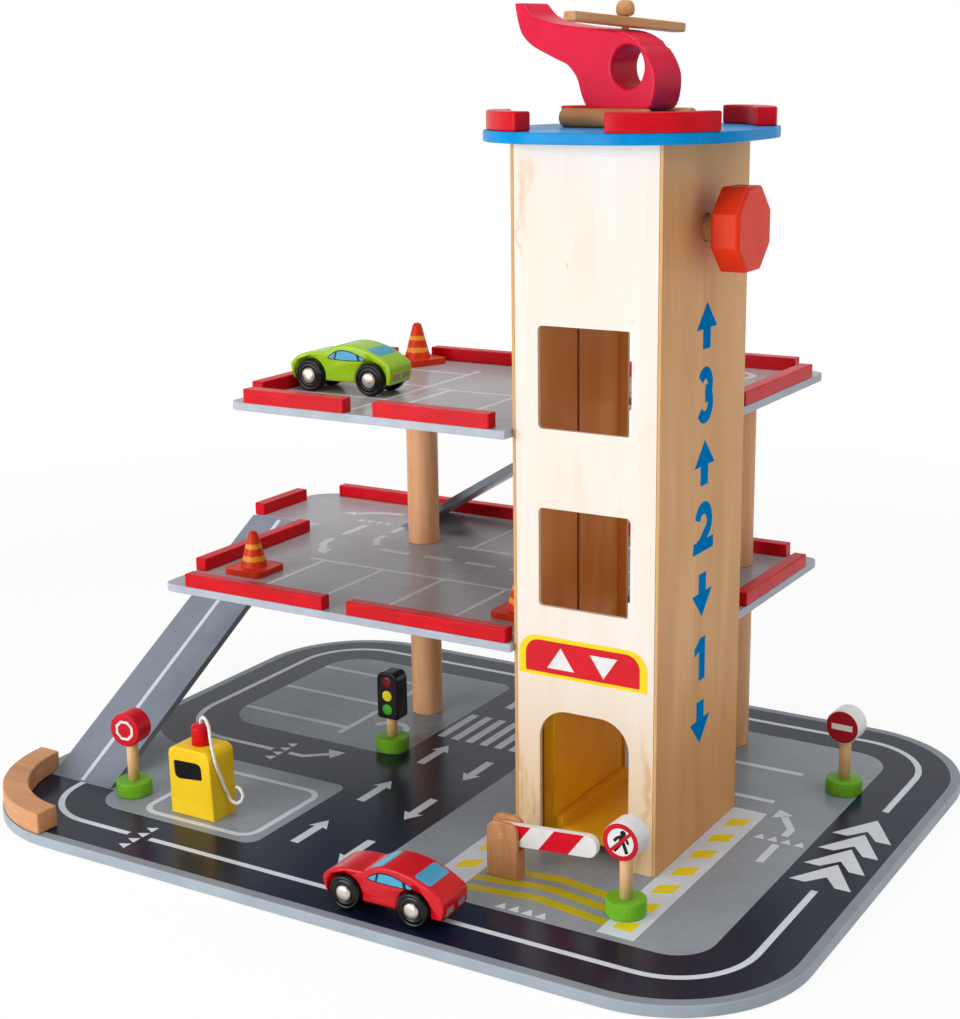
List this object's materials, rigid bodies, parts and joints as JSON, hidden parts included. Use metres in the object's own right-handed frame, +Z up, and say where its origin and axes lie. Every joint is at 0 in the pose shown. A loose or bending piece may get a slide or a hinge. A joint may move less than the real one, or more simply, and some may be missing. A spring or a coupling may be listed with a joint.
{
  "type": "toy parking garage",
  "caption": "Wooden toy parking garage: lift tower with crank knob and helipad, railed decks on posts with ramps, helicopter, cars, cones, signs, pump and barrier.",
  "frame": {"origin": "bottom centre of the base board", "axes": "+X right along the front edge of the board, +Y from the front towards the back, +Z up"},
  "size_m": [0.5942, 0.4572, 0.5382],
  "materials": {
    "road_board": "printed, satin",
    "deck_board": "painted, satin",
    "plywood": "clear lacquer",
    "beech": "clear lacquer",
    "natural_wood": "clear lacquer",
    "red_paint": "gloss paint",
    "blue_paint": "gloss paint",
    "orange_paint": "gloss paint",
    "lime_paint": "gloss paint",
    "yellow_paint": "gloss paint",
    "wheel_black": "gloss",
    "cone_orange": "gloss paint",
    "green_paint": "gloss paint",
    "sign_face": "gloss paint",
    "black_paint": "gloss paint",
    "hoist_cord": "twisted cord",
    "white_cord": "smooth cord"
  },
  "bodies": {
    "garage": {"base_board": "road_board", "ramp_stop": "beech", "tower_front": "plywood", "tower_back": "plywood", "tower_left": "plywood", "tower_right": "plywood", "helipad": "blue_paint", "bumper_back_right": "red_paint", "bumper_back_left": "red_paint", "bumper_front_left": "red_paint", "bumper_front_right": "red_paint", "lower_deck": "deck_board", "upper_deck": "deck_board", "post_lower_left": "beech", "post_lower_right": "beech", "post_upper_left": "beech", "post_upper_right": "beech", "rail_lower_front_left": "red_paint", "rail_lower_front_right": "red_paint", "rail_lower_left": "red_paint", "rail_lower_ext_left": "red_paint", "rail_lower_back": "red_paint", "rail_lower_right": "red_paint", "rail_upper_front_left": "red_paint", "rail_upper_front_right": "red_paint", "rail_upper_left": "red_paint", "rail_upper_back": "red_paint", "rail_upper_ext_back": "red_paint", "rail_upper_right": "red_paint", "lower_ramp": "deck_board", "upper_ramp": "deck_board", "hoist_cord": "hoist_cord"},
    "crank": {"lift_shaft": "natural_wood", "lift_knob": "orange_paint"},
    "cabin": {"cabin_frame": "yellow_paint", "cabin_floor": "yellow_paint"},
    "helicopter": {"helicopter_body": "red_paint", "skid_front": "natural_wood", "skid_back": "natural_wood"},
    "rotor": {"rotor": "natural_wood"},
    "red_car": {"red_car_body": "red_paint"},
    "red_front_wheels": {"red_car_wheels_front": "wheel_black"},
    "red_rear_wheels": {"red_car_wheels_rear": "wheel_black"},
    "green_car": {"green_car_body": "lime_paint"},
    "green_front_wheels": {"green_car_wheels_front": "wheel_black"},
    "green_rear_wheels": {"green_car_wheels_rear": "wheel_black"},
    "cone_lower_left": {"cone_lower_left": "cone_orange"},
    "cone_lower_right": {"cone_lower_right": "cone_orange"},
    "cone_upper": {"cone_upper": "cone_orange"},
    "sign_stop": {"sign_stop_stand": "green_paint", "sign_stop_disc": "sign_face"},
    "sign_walker": {"sign_walker_stand": "green_paint", "sign_walker_disc": "sign_face"},
    "sign_entry": {"sign_entry_stand": "green_paint", "sign_entry_disc": "sign_face"},
    "traffic_light": {"traffic_light": "black_paint"},
    "pump": {"pump": "yellow_paint", "pump_hose": "white_cord"},
    "barrier": {"barrier_post": "beech"},
    "barrier_arm": {"barrier_arm": "red_paint"}
  },
  "joints": [
    {"name": "lift_crank", "type": "hinge", "parent": "garage", "child": "crank", "pos_m": [0.17285, -0.02095, 0.4054], "axis": [1, 0, 0], "range_deg": [0, 1703]},
    {"name": "lift_travel", "type": "slide", "parent": "garage", "child": "cabin", "axis": [0, 0, 1], "range_m": [0, 0.265], "deforming": ["hoist_cord"]},
    {"name": "helicopter_lift", "type": "slide", "parent": "garage", "child": "helicopter", "axis": [0, 0, 1], "range_m": [0, 0.08]},
    {"name": "rotor_spin", "type": "hinge", "parent": "helicopter", "child": "rotor", "pos_m": [0.11627, -0.01965, 0.52555], "axis": [0, 0, 1], "range_deg": [-150, 15]},
    {"name": "red_car_drive", "type": "slide", "parent": "garage", "child": "red_car", "axis": [-0.9999, -0.0105, 0], "range_m": [-0.1, 0.2]},
    {"name": "red_front_wheels_roll", "type": "hinge", "parent": "red_car", "child": "red_front_wheels", "pos_m": [0.02815, -0.19925, 0.0186], "axis": [0.0105, -0.9999, 0], "range_deg": [-520, 1030]},
    {"name": "red_rear_wheels_roll", "type": "hinge", "parent": "red_car", "child": "red_rear_wheels", "pos_m": [0.07655, -0.19874, 0.0186], "axis": [0.0105, -0.9999, 0], "range_deg": [-520, 1030]},
    {"name": "green_car_drive", "type": "slide", "parent": "garage", "child": "green_car", "axis": [-0.9991, -0.0419, 0], "range_m": [-0.11, 0]},
    {"name": "green_front_wheels_roll", "type": "hinge", "parent": "green_car", "child": "green_front_wheels", "pos_m": [-0.11507, -0.02315, 0.2958], "axis": [0.0419, -0.9991, 0], "range_deg": [-570, 5]},
    {"name": "green_rear_wheels_roll", "type": "hinge", "parent": "green_car", "child": "green_rear_wheels", "pos_m": [-0.06671, -0.02112, 0.2958], "axis": [0.0419, -0.9991, 0], "range_deg": [-570, 5]},
    {"name": "cone_lower_left_lift", "type": "slide", "parent": "garage", "child": "cone_lower_left", "axis": [0, 0, 1], "range_m": [0, 0.08]},
    {"name": "cone_lower_right_lift", "type": "slide", "parent": "garage", "child": "cone_lower_right", "axis": [0, 0, 1], "range_m": [0, 0.08]},
    {"name": "cone_upper_lift", "type": "slide", "parent": "garage", "child": "cone_upper", "axis": [0, 0, 1], "range_m": [0, 0.08]},
    {"name": "sign_stop_lift", "type": "slide", "parent": "garage", "child": "sign_stop", "axis": [0, 0, 1], "range_m": [0, 0.08]},
    {"name": "sign_walker_lift", "type": "slide", "parent": "garage", "child": "sign_walker", "axis": [0, 0, 1], "range_m": [0, 0.08]},
    {"name": "sign_entry_lift", "type": "slide", "parent": "garage", "child": "sign_entry", "axis": [0, 0, 1], "range_m": [0, 0.08]},
    {"name": "traffic_light_lift", "type": "slide", "parent": "garage", "child": "traffic_light", "axis": [0, 0, 1], "range_m": [0, 0.06]},
    {"name": "pump_lift", "type": "slide", "parent": "garage", "child": "pump", "axis": [0, 0, 1], "range_m": [0, 0.08]},
    {"name": "barrier_lift", "type": "slide", "parent": "garage", "child": "barrier", "axis": [0, 0, 1], "range_m": [0, 0.08]},
    {"name": "barrier_swing", "type": "hinge", "parent": "barrier", "child": "barrier_arm", "pos_m": [0.08875, -0.1249, 0.0357], "axis": [0, -1, 0], "range_deg": [-4.5, 85]}
  ],
  "couplings": [
    {"joint": "lift_travel", "follows": "lift_crank", "m_per_rad": 0.0089},
    {"joint": "red_front_wheels_roll", "follows": "red_car_drive", "rad_per_m": 89.286},
    {"joint": "red_rear_wheels_roll", "follows": "red_car_drive", "rad_per_m": 89.286},
    {"joint": "green_front_wheels_roll", "follows": "green_car_drive", "rad_per_m": 89.286},
    {"joint": "green_rear_wheels_roll", "follows": "green_car_drive", "rad_per_m": 89.286}
  ]
}
